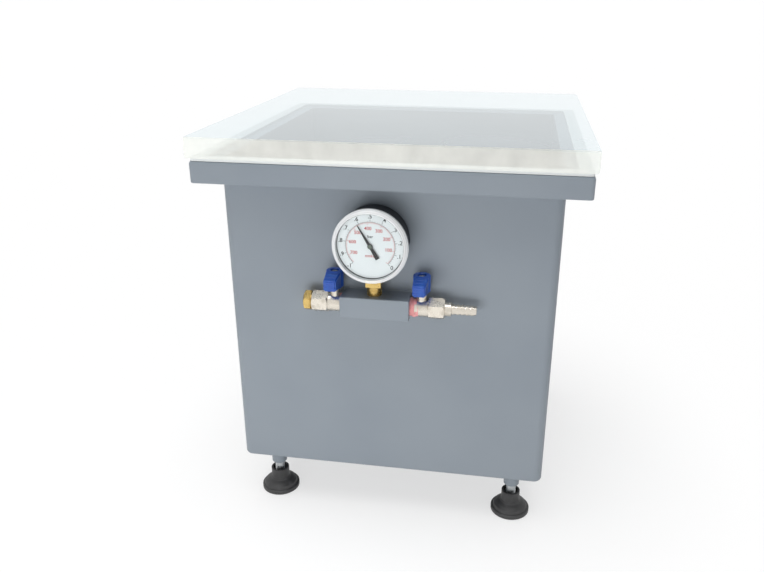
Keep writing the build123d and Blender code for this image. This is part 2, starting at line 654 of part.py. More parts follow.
# ---------------------------------------------------------------- feet
BALL_END_RADIUS = 6.5
BALL_END_Z = 14.5
SOCKET_GAP = 0.2
SOCKET_MOUTH = 5.6
RECESS_RADIUS = 7.4
STUD_TOP = 45.0
BUSH_BORE_TOP = TANK_BOTTOM - 1.0
THREAD_CLEARANCE = 0.05


def foot_frame(x, y):
    """A vertical turning plane at a foot: its x axis points up."""
    return Plane((x, y, 0), x_dir=(0, 0, 1), z_dir=(0, -1, 0))


def foot_pad(name, x, y):
    frame = foot_frame(x, y)
    with BuildPart() as pad:
        revolve(outline(frame, [
            (0, 0), (0, PAD_RADIUS - 1.4), (1.2, PAD_RADIUS), (4.6, PAD_RADIUS),
            (5.4, PAD_RADIUS - 1.0), (5.6, PAD_RADIUS - 2.0), (8.4, PAD_RADIUS - 3.2),
            (10.6, PAD_RADIUS - 6.2), (12.2, NECK_RADIUS + 1.4), (14.0, NECK_RADIUS),
            (NECK_TOP - 0.4, NECK_RADIUS), (NECK_TOP, NECK_RADIUS - 0.4), (NECK_TOP, RECESS_RADIUS),
            (BALL_END_Z + 6.6, RECESS_RADIUS), (BALL_END_Z + 6.6, SOCKET_MOUTH),
            (BALL_END_Z + 4.0, SOCKET_MOUTH), (BALL_END_Z + 4.0, 0)]), axis=Axis(frame.origin, (0, 0, 1)))
        with Locations((x, y, BALL_END_Z)):
            Sphere(BALL_END_RADIUS + SOCKET_GAP, mode=Mode.SUBTRACT)
    save(pad.part, f"{name}_foot_pad")


def foot_stud(name, x, y):
    with BuildPart() as stud:
        with Locations((x, y, BALL_END_Z)):
            Sphere(BALL_END_RADIUS)
        with BuildSketch(Plane((x, y, BALL_END_Z))):
            Circle(STUD_RADIUS)
        extrude(amount=STUD_TOP - BALL_END_Z)
        chamfer(stud.edges().sort_by(Axis.Z)[-1], 0.8)
    save(stud.part, f"{name}_foot_stud")


def foot_bush(name, x, y):
    with BuildPart() as bush:
        with BuildSketch(Plane((x, y, BUSH_BOTTOM))):
            Circle(BUSH_RADIUS)
        extrude(amount=TANK_BOTTOM - BUSH_BOTTOM)
        chamfer(bush.edges().sort_by(Axis.Z)[0], 1.2)
        with BuildSketch(Plane((x, y, BUSH_BOTTOM))):
            Circle(STUD_RADIUS + THREAD_CLEARANCE)
        extrude(amount=BUSH_BORE_TOP - BUSH_BOTTOM, mode=Mode.SUBTRACT)
    save(bush.part, f"{name}_foot_bush")


tank_shell()
top_flange()
lid_gasket()
lid()
manifold_block()

vent_frame = outward(VENT_X, -1)
pump_frame = outward(PUMP_X, 1)
ball_valve("vent", vent_frame, 0)
ball_valve("pump", pump_frame, PUMP_HANDLE_REST)
vent_plug(vent_frame)
hose_tail(pump_frame)
thread_sealant("pump", pump_frame, PUMP_EXPOSED, SEALANT_SWELL)

gauge_case()
gauge_window()
gauge_socket()
gauge_dial()
gauge_needle()
sector_gear()
movement_plates()
bourdon_tube()

for foot_name, side, end in (("front_left", -1, -1), ("front_right", 1, -1),
                             ("rear_left", -1, 1), ("rear_right", 1, 1)):
    foot_x = side * FOOT_X
    foot_y = end * FOOT_Y + SHIFT_Y
    foot_bush(foot_name, foot_x, foot_y)
    foot_stud(foot_name, foot_x, foot_y)
    foot_pad(foot_name, foot_x, foot_y)
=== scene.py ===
"""Dresses the vacuum chamber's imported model: finishes, welds, threads, dial print, levers, lid and light.

Everything is in metres in the model's own frame: +Z is up, -Y is the front and the pads stand on z = 0.
"""
import json
import logging
import math
import random
from dataclasses import dataclass
from enum import Enum
from typing import Any, Callable, Sequence

import bmesh
import bpy
from mathutils import Matrix, Vector


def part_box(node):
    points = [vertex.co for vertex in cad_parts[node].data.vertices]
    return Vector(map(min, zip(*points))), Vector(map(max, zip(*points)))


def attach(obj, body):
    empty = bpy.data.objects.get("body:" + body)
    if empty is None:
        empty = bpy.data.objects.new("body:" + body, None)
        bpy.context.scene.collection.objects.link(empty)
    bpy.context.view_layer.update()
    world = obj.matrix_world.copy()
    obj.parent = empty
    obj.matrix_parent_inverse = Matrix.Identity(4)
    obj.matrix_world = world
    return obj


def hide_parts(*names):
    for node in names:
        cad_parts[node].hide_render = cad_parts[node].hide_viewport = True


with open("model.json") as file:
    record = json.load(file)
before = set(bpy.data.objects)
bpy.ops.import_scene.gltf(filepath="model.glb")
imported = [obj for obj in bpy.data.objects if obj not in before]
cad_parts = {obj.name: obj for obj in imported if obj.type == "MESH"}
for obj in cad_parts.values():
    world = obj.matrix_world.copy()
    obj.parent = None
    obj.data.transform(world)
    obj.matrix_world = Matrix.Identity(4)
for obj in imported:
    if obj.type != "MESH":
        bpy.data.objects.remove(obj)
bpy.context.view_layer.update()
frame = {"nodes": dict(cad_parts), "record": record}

log = logging.getLogger("vacuum_chamber")

MM = 0.001
CHAMBER = "chamber"
Colour = tuple[float, float, float]
Triple = tuple[float, float, float]
Setting = Any
Shape = bmesh.types.BMesh

WHITE = (1.0, 1.0, 1.0, 1.0)
ACRYLIC_IOR = 1.49
SHARP_ANGLE = math.radians(38)
CORNER_STEPS = 5
DOWN = Vector((0, 0, -1))
FRONT = Vector((0, -1, 0))
Z_TO_FRONT = Matrix.Rotation(math.radians(90), 4, "X")
Z_TO_RIGHT = Matrix.Rotation(math.radians(90), 4, "Y")


class Foot(Enum):
    """The four levelling feet, by the names of their CAD nodes."""

    FRONT_LEFT = "front_left"
    FRONT_RIGHT = "front_right"
    REAR_LEFT = "rear_left"
    REAR_RIGHT = "rear_right"


class Valve(Enum):
    """The two ball valves, by the names of their CAD nodes."""

    VENT = "vent"
    PUMP = "pump"


# ---------------- shader maths
class Signal:
    """One node's output. Arithmetic on it adds Math nodes to its tree."""

    def __init__(self, graph: "Graph", socket: bpy.types.NodeSocket) -> None:
        """Keeps the output's tree and socket."""
        self.graph = graph
        self.socket = socket

    def __add__(self, other: Setting) -> "Signal":
        """Adds."""
        return self.graph.maths("ADD", self, other)

    __radd__ = __add__

    def __sub__(self, other: Setting) -> "Signal":
        """Subtracts."""
        return self.graph.maths("SUBTRACT", self, other)

    def __rsub__(self, other: Setting) -> "Signal":
        """Subtracts from a number."""
        return self.graph.maths("SUBTRACT", other, self)

    def __mul__(self, other: Setting) -> "Signal":
        """Multiplies."""
        return self.graph.maths("MULTIPLY", self, other)

    __rmul__ = __mul__

    def __abs__(self) -> "Signal":
        """Takes the size without the sign."""
        return self.graph.maths("ABSOLUTE", self)

    def larger(self, other: Setting) -> "Signal":
        """Takes the larger of two values."""
        return self.graph.maths("MAXIMUM", self, other)

    def band(self, low: float, high: float) -> "Signal":
        """Turns the stretch from low to high into a smooth 0 to 1."""
        values = {"Value": self, "From Min": low, "From Max": high}
        return self.graph.node("ShaderNodeMapRange", {"interpolation_type": "SMOOTHSTEP"}, values)


class Graph:
    """The node tree of one new material or world."""

    def __init__(self, owner: bpy.types.Material | bpy.types.World) -> None:
        """Empties the owner's node tree."""
        self.owner = owner
        owner.use_nodes = True
        self.tree = owner.node_tree
        self.tree.nodes.clear()

    def node(self, kind: str, settings: dict[str, Setting] | None = None,
             values: dict[Any, Setting] | None = None, output: Any = 0) -> Signal:
        """Adds a node.

        Args:
            kind: The node's type.
            settings: Its own settings, set before its sockets.
            values: A value or a Signal for each named or numbered input.
            output: The output to give back.

        Returns:
            That output.
        """
        made = self.tree.nodes.new(kind)
        for key, value in (settings or {}).items():
            setattr(made, key, value)
        for key, value in (values or {}).items():
            if isinstance(value, Signal):
                self.tree.links.new(value.socket, made.inputs[key])
            else:
                made.inputs[key].default_value = value
        return Signal(self, made.outputs[output])

    def maths(self, operation: str, first: Setting, second: Setting = 0.0) -> Signal:
        """Adds a Math node: an operation on one or two values or links."""
        return self.node("ShaderNodeMath", {"operation": operation}, {0: first, 1: second})

    def noise(self, scale: float, detail: float = 3.0, stretch: Sequence[float] = (1, 1, 1)) -> Signal:
        """Fractal noise over the piece.

        Args:
            scale: Features per metre.
            detail: Octaves.
            stretch: How much each axis is scaled first.

        Returns:
            The noise, about 0.5.
        """
        place = self.node("ShaderNodeTexCoord", output="Object")
        mapped = self.node("ShaderNodeMapping", None, {"Vector": place, "Scale": tuple(stretch)})
        return self.node("ShaderNodeTexNoise", None, {"Vector": mapped, "Scale": scale, "Detail": detail})

    def mix(self, share: Setting, first: Setting, second: Setting) -> Signal:
        """Mixes two colours.

        Args:
            share: How much of the second.
            first: The first colour or link.
            second: The second colour or link.

        Returns:
            The mixed colour.
        """
        full = [(*c, 1.0) if isinstance(c, tuple) else c for c in (first, second)]
        values = {0: share, 6: full[0], 7: full[1]}
        return self.node("ShaderNodeMix", {"data_type": "RGBA"}, values, output=2)

    def bump(self, height: Signal, distance: float, strength: float = 1.0) -> Signal:
        """Bends the normal by a height of 0 to 1, where 1 stands for a distance in metres."""
        values = {"Height": height, "Distance": distance, "Strength": strength}
        return self.node("ShaderNodeBump", None, values)

    def principled(self, values: dict[str, Setting]) -> Signal:
        """Adds the main shader, with its sockets' values or links."""
        return self.node("ShaderNodeBsdfPrincipled", None, values)

    def blend(self, share: Setting, first: Signal, second: Signal) -> Signal:
        """Mixes two shaders, by the share of the second."""
        return self.node("ShaderNodeMixShader", None, {0: share, 1: first, 2: second})

    def ray(self, kind: str) -> Signal:
        """Gives 1 for rays of one kind, such as Camera, and 0 for the others."""
        return self.node("ShaderNodeLightPath", output=f"Is {kind} Ray")

    def looking(self) -> Signal:
        """Gives 1 for rays that look at something, straight on, in gloss or through glass."""
        return self.ray("Camera").larger(self.ray("Glossy")).larger(self.ray("Transmission"))

    def finish(self, surface: Signal, kind: str = "ShaderNodeOutputMaterial") -> Any:
        """Links a shader to the tree's output.

        Args:
            surface: The shader to show.
            kind: The output node's type.

        Returns:
            The material or world.
        """
        made = self.tree.nodes.new(kind)
        self.tree.links.new(surface.socket, made.inputs["Surface"])
        return self.owner


# ---------------- finishes
@dataclass(frozen=True)
class Finish:
    """A finish that a piece can wear, under its own name."""

    name: str

    def material(self) -> bpy.types.Material:
        """The finish's material, made once."""
        name = f"finish_{self.name}"
        made = bpy.data.materials.get(name)
        if made is None:
            graph = Graph(bpy.data.materials.new(name))
            made = graph.finish(self.surface(graph))
        return made

    def surface(self, graph: Graph) -> Signal:
        """Builds the finish's shader in a new graph."""
        raise NotImplementedError


@dataclass(frozen=True)
class Paint(Finish):
    """Sprayed paint with a fine orange peel and soft cloudy patches.

    Fields:
        colour: The paint.
        cloud: The colour it drifts towards in patches.
        rough: Its roughness.
        peel: Height of the orange peel in metres.
        gloss: How strongly it mirrors, where 0.5 is plain paint.
    """

    colour: Colour
    cloud: Colour
    rough: float
    peel: float = 0.00004
    gloss: float = 0.4

    def surface(self, graph: Graph) -> Signal:
        """Builds the paint."""
        patches = graph.noise(9.0, 2.0).band(0.3, 0.72)
        specks = graph.noise(900.0, 1.0)
        values = {
            "Base Color": graph.mix(patches, self.colour, self.cloud),
            "Roughness": graph.noise(35.0, 4.0) * 0.12 + (self.rough - 0.06),
            "Normal": graph.bump(specks, self.peel, 0.5),
            "Specular IOR Level": self.gloss,
        }
        return graph.principled(values)


@dataclass(frozen=True)
class Metal(Finish):
    """Turned or plated metal with tool marks and tarnish.

    Fields:
        colour: The clean metal.
        tarnish: Its dulled colour.
        rough: Its roughness.
        marks: Height of the tool marks in metres.
        across: How the marks' noise is stretched along x, y and z.
    """

    colour: Colour
    tarnish: Colour
    rough: float
    marks: float = 0.00002
    across: Triple = (6.0, 1.0, 1.0)

    def surface(self, graph: Graph) -> Signal:
        """Builds the metal."""
        dull = graph.noise(160.0, 4.0).band(0.45, 0.75)
        lines = graph.noise(900.0, 2.0, self.across)
        values = {
            "Base Color": graph.mix(dull * 0.6, self.colour, self.tarnish),
            "Metallic": 1.0,
            "Roughness": dull * 0.15 + lines * 0.1 + (self.rough - 0.05),
            "Normal": graph.bump(lines, self.marks, 0.6),
        }
        return graph.principled(values)


@dataclass(frozen=True)
class Moulding(Finish):
    """Moulded plastic or rubber.

    Fields:
        colour: The plastic.
        faded: Its rubbed or dusty colour.
        rough: Its roughness.
        grain: Height of the mould's grain in metres.
        sheen: The share of light that sinks in.
        sink: How far it sinks.
    """

    colour: Colour
    faded: Colour
    rough: float
    grain: float = 0.00003
    sheen: float = 0.0
    sink: float = 2.0 * MM

    def surface(self, graph: Graph) -> Signal:
        """Builds the plastic."""
        rubbed = graph.noise(120.0, 5.0).band(0.5, 0.8)
        grain = graph.noise(2500.0, 2.0)
        values = {
            "Base Color": graph.mix(rubbed * 0.7, self.colour, self.faded),
            "Roughness": rubbed * 0.15 + self.rough,
            "Normal": graph.bump(grain, self.grain, 0.5),
            "Subsurface Weight": self.sheen,
            "Subsurface Radius": (self.sink,) * 3,
        }
        return graph.principled(values)


@dataclass(frozen=True)
class Print(Finish):
    """Flat printing ink.

    Fields:
        colour: The ink.
        worn: The grey that shows where the ink is thin.
    """

    colour: Colour
    worn: Colour = (0.5, 0.5, 0.5)

    def surface(self, graph: Graph) -> Signal:
        """Builds the ink, with a little uneven cover."""
        cover = graph.noise(1500.0, 2.0).band(0.2, 0.9)
        values = {
            "Base Color": graph.mix(cover * 0.08, self.colour, self.worn),
            "Roughness": 0.55,
        }
        return graph.principled(values)


@dataclass(frozen=True)
class Clear(Finish):
    """Clear plastic: open to what lies behind it, with a pale body and a gloss on top.

    Fields:
        tint: What the open share does to the light.
        face: Pale body colour of the flat faces.
        edge: Pale body colour of the cut edges, which stand square to the faces.
        axis: The flat faces' axis, 0 to 2.
        face_body: How much of the body shows on the faces.
        edge_body: How much of the body shows on the cut edges.
        edge_rough: Roughness of the cut edges.
        saw: Height of the cut edges' marks in metres.
        passing: What the plastic does to light that passes through it to something else.
    """

    tint: Colour
    face: Colour
    edge: Colour
    axis: int
    face_body: float
    edge_body: float
    edge_rough: float = 0.2
    saw: float = 0.0
    passing: Colour = (0.94, 0.96, 0.96)

    def surface(self, graph: Graph) -> Signal:
        """Builds the clear plastic."""
        normal = graph.node("ShaderNodeNewGeometry", output="Normal")
        flat = abs(graph.node("ShaderNodeSeparateXYZ", None, {"Vector": normal}, output=self.axis))
        cut = 1 - flat.band(0.2, 0.8)
        marks = graph.noise(55.0, 3.0, (1.0, 1.0, 0.7))
        haze = graph.noise(12.0, 2.0)
        values = {
            "Base Color": graph.mix(cut, self.face, self.edge),
            "Roughness": cut * self.edge_rough + 0.04,
            "IOR": ACRYLIC_IOR,
        }
        if self.saw:
            values["Normal"] = graph.bump(marks * cut, self.saw, 0.4)
        body = graph.principled(values)
        open_way = self.open_way(graph, self.tint)
        gloss = graph.node("ShaderNodeBsdfGlossy", None, {"Color": WHITE, "Roughness": 0.03})
        outside = 1 - graph.node("ShaderNodeNewGeometry", output="Backfacing")
        rim = graph.node("ShaderNodeFresnel", None, {"IOR": ACRYLIC_IOR}) * outside
        cloud = (cut * marks * 0.24 + haze * 0.1) - 0.12
        share = cut * (self.edge_body - self.face_body) + self.face_body + cloud
        seen = graph.blend(share * outside, graph.blend(rim, open_way, gloss), body)
        through = graph.ray("Shadow").larger(graph.ray("Diffuse"))
        return graph.blend(through, seen, self.open_way(graph, self.passing))

    @staticmethod
    def open_way(graph: Graph, tint: Colour) -> Signal:
        """Adds the shader of an open way that tints what passes."""
        return graph.node("ShaderNodeBsdfTransparent", None, {"Color": (*tint, 1.0)})


GREY_PAINT = Paint("grey_paint", (0.236, 0.270, 0.308), (0.256, 0.290, 0.326), 0.42)
WHITE_SILICONE = Moulding("white_silicone", (0.72, 0.74, 0.74), (0.64, 0.67, 0.68), 0.5, sheen=0.1)
ACRYLIC = Clear("clear_acrylic", (0.93, 0.97, 0.98), (0.74, 0.84, 0.88), (0.95, 0.95, 0.89),
                2, 0.52, 0.66, 0.22, 0.0004)
LENS = Clear("clear_lens", (0.98, 0.99, 0.99), (0.85, 0.88, 0.90), (0.85, 0.88, 0.90), 1, 0.05, 0.3)
RIM = Clear("clear_rim", (0.90, 0.92, 0.94), (0.95, 0.96, 0.97), (0.88, 0.90, 0.92), 1, 0.80, 0.45)
NICKEL = Metal("nickel_plate", (0.72, 0.67, 0.59), (0.50, 0.45, 0.37), 0.26)
ZINC = Metal("zinc_plate", (0.66, 0.68, 0.69), (0.42, 0.44, 0.45), 0.3, across=(1.0, 1.0, 6.0))
BRASS = Metal("bare_brass", (0.66, 0.47, 0.17), (0.42, 0.28, 0.09), 0.24)
PTFE = Moulding("white_ptfe", (0.85, 0.85, 0.83), (0.78, 0.78, 0.76), 0.5)
BLUE_PLASTIC = Moulding("blue_plastic", (0.012, 0.072, 0.38), (0.03, 0.13, 0.48), 0.30, 0.00002)
BLACK_PLASTIC = Moulding("black_plastic", (0.040, 0.040, 0.041), (0.075, 0.075, 0.077), 0.5)
CASE_PAINT = Paint("black_case_paint", (0.008, 0.010, 0.014), (0.012, 0.014, 0.018), 0.55)
DIAL_PAINT = Paint("white_dial_paint", (0.84, 0.855, 0.87), (0.80, 0.82, 0.84), 0.5, 0.00001)
NEEDLE_PAINT = Paint("black_needle_paint", (0.006, 0.006, 0.007), (0.010, 0.010, 0.011), 0.5)
BOSS_METAL = Metal("dull_boss_metal", (0.16, 0.19, 0.155), (0.09, 0.11, 0.09), 0.5)
SEALANT = Moulding("pink_sealant", (0.78, 0.33, 0.33), (0.88, 0.60, 0.58), 0.45, 0.0002, 0.3)
BLACK_INK = Print("black_ink", (0.010, 0.010, 0.012))
RED_INK = Print("red_ink", (0.55, 0.05, 0.05))

CAD_FINISHES: dict[str, Finish] = {
    "grey_paint": GREY_PAINT, "white_silicone": WHITE_SILICONE, "clear_acrylic": ACRYLIC,
    "nickel": NICKEL, "ptfe": PTFE, "blue_plastic": BLUE_PLASTIC, "zinc_steel": ZINC, "brass": BRASS,
    "pink_sealant": SEALANT, "black_case": CASE_PAINT, "clear_window": LENS, "white_dial": DIAL_PAINT,
    "black_needle": NEEDLE_PAINT, "black_plastic": BLACK_PLASTIC,
}


# ---------------- mesh helpers
def centre(node: str) -> Vector:
    """The middle of a CAD node's box."""
    low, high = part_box(node)
    return (low + high) / 2


def put_in_scene(name: str, data: bpy.types.ID) -> bpy.types.Object:
    """Makes an object of its data and links it into the scene."""
    thing = bpy.data.objects.new(name, data)
    bpy.context.scene.collection.objects.link(thing)
    return thing


def mesh_of(name: str, shape: Shape) -> bpy.types.Mesh:
    """Turns a bmesh into a mesh, and frees it."""
    mesh = bpy.data.meshes.new(name)
    shape.to_mesh(mesh)
    shape.free()
    return mesh


def new_piece(name: str, shape: Shape, finish: Finish, body: str,
              smooth: bool = True) -> bpy.types.Object:
    """Turns a bmesh into a piece of the object.

    Args:
        name: The piece's name.
        shape: Its mesh, which is freed.
        finish: What it wears.
        body: The CAD body that it rides on.
        smooth: Whether its faces shade smoothly.

    Returns:
        The new object.
    """
    bmesh.ops.recalc_face_normals(shape, faces=shape.faces)
    mesh = mesh_of(name, shape)
    piece = put_in_scene(name, mesh)
    mesh.materials.append(finish.material())
    if smooth:
        mesh.shade_smooth()
        mesh.set_sharp_from_angle(angle=SHARP_ANGLE)
    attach(piece, body)
    log.info("%s: %d faces on %s", name, len(mesh.polygons), body)
    return piece


def skin(shape: Shape, first: Sequence[bmesh.types.BMVert],
         second: Sequence[bmesh.types.BMVert]) -> None:
    """Joins two closed rings of vertices with a band of faces.

    Args:
        shape: The bmesh to add to.
        first: One ring.
        second: The other ring, with as many vertices.
    """
    for side in range(len(first)):
        after = (side + 1) % len(first)
        shape.faces.new((first[side], first[after], second[after], second[side]))


def turned(base: Matrix, reach: float, turn: float, along: float) -> Vector:
    """A point about the z axis of a frame, by its radius, its angle and its place along."""
    return base @ Vector((reach * math.cos(turn), reach * math.sin(turn), along))


def lathe(shape: Shape, profile: Sequence[tuple[float, float]], base: Matrix,
          sides: int = 48, close: bool = False,
          wobble: Callable[[float, float], float] = lambda along, turn: 0.0) -> None:
    """Adds a turned skin about the z axis of a frame.

    Args:
        shape: The bmesh to add to.
        profile: Points of (along, radius).
        base: The frame: its z axis is the turning axis.
        sides: Steps round.
        close: Whether the profile's ends meet.
        wobble: What is added to the radius, from the place along and the angle.
    """
    rings = []
    for along, radius in profile:
        turns = [2 * math.pi * side / sides for side in range(sides)]
        rings.append([shape.verts.new(turned(base, radius + wobble(along, turn), turn, along))
                      for turn in turns])
    for first, second in zip(rings, rings[1:]):
        skin(shape, first, second)
    if close:
        skin(shape, rings[-1], rings[0])
    else:
        shape.faces.new(rings[0])
        shape.faces.new(rings[-1])


def screw_thread(shape: Shape, base: Matrix, low: float, high: float, root: float,
                 crest: float, pitch: float, sides: int = 32) -> None:
    """Adds a helical thread about the z axis of a frame. Its ends are open, inside its neighbours.

    Args:
        shape: The bmesh to add to.
        base: The frame.
        low: Where the thread starts.
        high: Where it ends.
        root: Radius in the grooves.
        crest: Radius on the ridges.
        pitch: Rise of one turn.
        sides: Steps round.
    """
    radii = (root, root, crest, crest)
    per_turn = len(radii)
    steps = int((high - low) / pitch * per_turn) + 2 * per_turn
    rings = []
    for step in range(steps):
        ring = []
        for side in range(sides):
            turn = 2 * math.pi * side / sides
            along = low + pitch * (step / per_turn - 1 + side / sides)
            reach = radii[step % per_turn] if low < along < high else root
            along = min(max(along, low), high)
            ring.append(shape.verts.new(turned(base, reach, turn, along)))
        rings.append(ring)
    for first, second in zip(rings, rings[1:]):
        for side in range(sides - 1):
            shape.faces.new((first[side], first[side + 1], second[side + 1], second[side]))
    for this, following, above, beyond in zip(rings, rings[1:], rings[per_turn:], rings[per_turn + 1:]):
        shape.faces.new((this[-1], above[0], beyond[0], following[-1]))
    bmesh.ops.remove_doubles(shape, verts=shape.verts, dist=1e-7)


def rounded_loop(half_x: float, half_y: float, corner: float,
                 spacing: float) -> list[tuple[Vector, Vector]]:
    """Points and outward directions round a rounded rectangle about the origin.

    Args:
        half_x: Half its width.
        half_y: Half its depth.
        corner: Its corner radius.
        spacing: Distance between points on the straights.

    Returns:
        Each point with its outward direction.
    """
    loop = []
    for quarter in range(4):
        sign_x = 1 if quarter in (0, 3) else -1
        sign_y = 1 if quarter in (0, 1) else -1
        heart = Vector((sign_x * (half_x - corner), sign_y * (half_y - corner), 0))
        for step in range(CORNER_STEPS + 1):
            turn = math.radians(90 * quarter + 90 * step / CORNER_STEPS)
            way = Vector((math.cos(turn), math.sin(turn), 0))
            loop.append((heart + way * corner, way))
        along_x = quarter in (0, 2)
        length = 2 * (half_x - corner) if along_x else 2 * (half_y - corner)
        run = Vector((-sign_x, 0, 0)) if along_x else Vector((0, -sign_y, 0))
        way = Vector((0, sign_y, 0)) if along_x else Vector((sign_x, 0, 0))
        count = max(int(length / spacing), 2)
        start = heart + way * corner
        for step in range(1, count):
            loop.append((start + run * (length * step / count), way))
    return loop


# ---------------- sub-assemblies
@dataclass
class Tank:
    """The welded box's fillets.

    Fields:
        flange_weld: Leg of the fillet under the flange.
        block_weld: Leg of the fillet round the manifold block.
        bush_weld: Leg of the fillet round each foot's bush.
        corner: Outside radius of the box's folds.
        block_corner: Radius of the block's corners.
        flange_ripple: Distance between ripples under the flange.
        block_ripple: The same round the block.
        bush_steps: Ripples round a bush.
    """

    flange_weld: float = 3.0 * MM
    block_weld: float = 1.3 * MM
    bush_weld: float = 1.8 * MM
    corner: float = 8.0 * MM
    block_corner: float = 0.3 * MM
    flange_ripple: float = 2.2 * MM
    block_ripple: float = 1.2 * MM
    bush_steps: int = 44

    def build(self) -> None:
        """Lays the welds."""
        self.weld_flange()
        self.weld_block()
        for foot in Foot:
            self.weld_bush(foot)

    def weld_flange(self) -> None:
        """Runs a fillet round the box, under the flange."""
        low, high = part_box("tank_shell")
        middle = (low + high) / 2
        loop = rounded_loop((high.x - low.x) / 2, (high.y - low.y) / 2, self.corner, self.flange_ripple)
        lift = Vector((middle.x, middle.y, high.z))
        self.weld("flange_weld", [(point + lift, way) for point, way in loop], DOWN, self.flange_weld, 3)

    def weld_block(self) -> None:
        """Runs a small fillet round the back of the manifold block."""
        low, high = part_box("manifold_block")
        half_x, half_z = (high.x - low.x) / 2, (high.z - low.z) / 2
        loop = rounded_loop(half_x, half_z, self.block_corner, self.block_ripple)
        middle = Vector(((low.x + high.x) / 2, high.y, (low.z + high.z) / 2))
        corner = [(Z_TO_FRONT @ point + middle, Z_TO_FRONT @ way) for point, way in loop]
        self.weld("block_weld", corner, FRONT, self.block_weld, 5)

    def weld_bush(self, foot: Foot) -> None:
        """Runs a fillet round one bush, under the box.

        Args:
            foot: Which foot.
        """
        low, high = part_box(f"{foot.value}_foot_bush")
        middle = Vector(((low.x + high.x) / 2, (low.y + high.y) / 2, high.z))
        radius = (high.x - low.x) / 2
        turns = [2 * math.pi * step / self.bush_steps for step in range(self.bush_steps)]
        ways = [Vector((math.cos(turn), math.sin(turn), 0)) for turn in turns]
        corner = [(middle + way * radius, way) for way in ways]
        self.weld(f"{foot.value}_bush_weld", corner, DOWN, self.bush_weld, 7)

    def weld(self, name: str, corner: Sequence[tuple[Vector, Vector]], down: Vector, size: float,
             seed: int) -> None:
        """Lays one closed fillet round a corner between two faces.

        Args:
            name: The piece's name.
            corner: Evenly spaced points along the corner, each with the way along the first face.
            down: The way along the second face.
            size: The fillet's leg.
            seed: Start of the random ripple.
        """
        dice = random.Random(seed)
        shape = bmesh.new()
        rings = []
        for number, (point, out) in enumerate(corner):
            ripple = 0.10 * math.sin(number * 2.4) + dice.uniform(-0.07, 0.07)
            leg = size * (1.0 + ripple)
            sunk, near, far = -0.2 * size, 0.32 * leg, 0.74 * leg
            outline = ((sunk, sunk), (leg, sunk), (far, near), (near, far), (sunk, leg))
            rings.append([shape.verts.new(point + out * a + down * b) for a, b in outline])
        for first, second in zip(rings, rings[1:] + rings[:1]):
            skin(shape, first, second)
        new_piece(name, shape, GREY_PAINT, CHAMBER)


@dataclass
class LevellingStud:
    """One foot's screw: a ball end and a shank with a rolled thread.

    Fields:
        foot: Which foot.
        pitch: Rise of one turn of the thread.
        depth: Depth of the thread.
        crest: Radius on its ridges.
        ball: Radius of the ball end.
    """

    foot: Foot
    pitch: float = 1.5 * MM
    depth: float = 0.75 * MM
    crest: float = 5.0 * MM
    ball: float = 6.5 * MM

    def build(self) -> None:
        """Turns the stud and puts it in its CAD node's place."""
        node = f"{self.foot.value}_foot_stud"
        low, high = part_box(node)
        middle = (low + high) / 2
        base = Matrix.Translation((middle.x, middle.y, 0))
        root = self.crest - self.depth
        neck = low.z + 2 * self.ball
        shape = bmesh.new()
        screw_thread(shape, base, neck - 0.8 * MM, high.z, root, self.crest, self.pitch)
        turns = [math.radians(-90 + 155 * step / 14) for step in range(15)]
        heart = low.z + self.ball
        profile = [(heart + self.ball * math.sin(t), max(self.ball * math.cos(t), 1e-5)) for t in turns]
        lathe(shape, profile + [(neck - 0.4 * MM, root)], base, 32)
        name = f"{self.foot.value}_stud"
        piece = new_piece(f"{name}_thread", shape, ZINC, name)
        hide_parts(node)


@dataclass(frozen=True)
class Scale:
    """One of the dial's two printed scales.

    Fields:
        colour: What its pieces' names start with.
        ink: Its ink.
        start: Angle of its first mark, in degrees clockwise from the top. The last is the same past it.
        foot: Radius of the arc that the marks stand on.
        long_tip: Radius of the long marks' tips.
        short_tip: Radius of the short marks' tips.
        long_width: Width of the long marks.
        short_width: Width of the short marks.
        gaps: Gaps between marks.
        group: Gaps between long marks.
        numbers: Each number with its share of the way along the scale.
        number_radius: Where the numbers stand.
        number_height: How tall they are.
        unit: The unit's name.
        unit_rise: How far the unit stands above the dial's middle.
        unit_height: How tall it is.
    """

    colour: str
    ink: Finish
    start: float
    foot: float
    long_tip: float
    short_tip: float
    long_width: float
    short_width: float
    gaps: int
    group: int
    numbers: tuple[tuple[str, float], ...]
    number_radius: float
    number_height: float
    unit: str
    unit_rise: float
    unit_height: float

    def angle(self, share: float) -> float:
        """The angle at a share of the way along, in degrees clockwise from the top."""
        return self.start * (1 - 2 * share)


FULL_RED = 760
BLACK_NUMBERS = ("-1", ".9", ".8", ".7", ".6", ".5", ".4", ".3", ".2", ".1", "0")
SCALES = (
    Scale("black", BLACK_INK, -135.0, 22.1 * MM, 24.3 * MM, 23.3 * MM, 0.34 * MM, 0.16 * MM, 50, 5,
          tuple((text, step / 10) for step, text in enumerate(BLACK_NUMBERS)), 26.9 * MM, 3.5 * MM,
          "bar", 8.8 * MM, 2.6 * MM),
    Scale("red", RED_INK, 135.0, 21.6 * MM, 19.4 * MM, 20.4 * MM, 0.3 * MM, 0.14 * MM, 76, 10,
          tuple((str(value), value / FULL_RED) for value in range(100, 800, 100)), 16.2 * MM, 2.9 * MM,
          "mmHg", -9.0 * MM, 2.4 * MM),
)


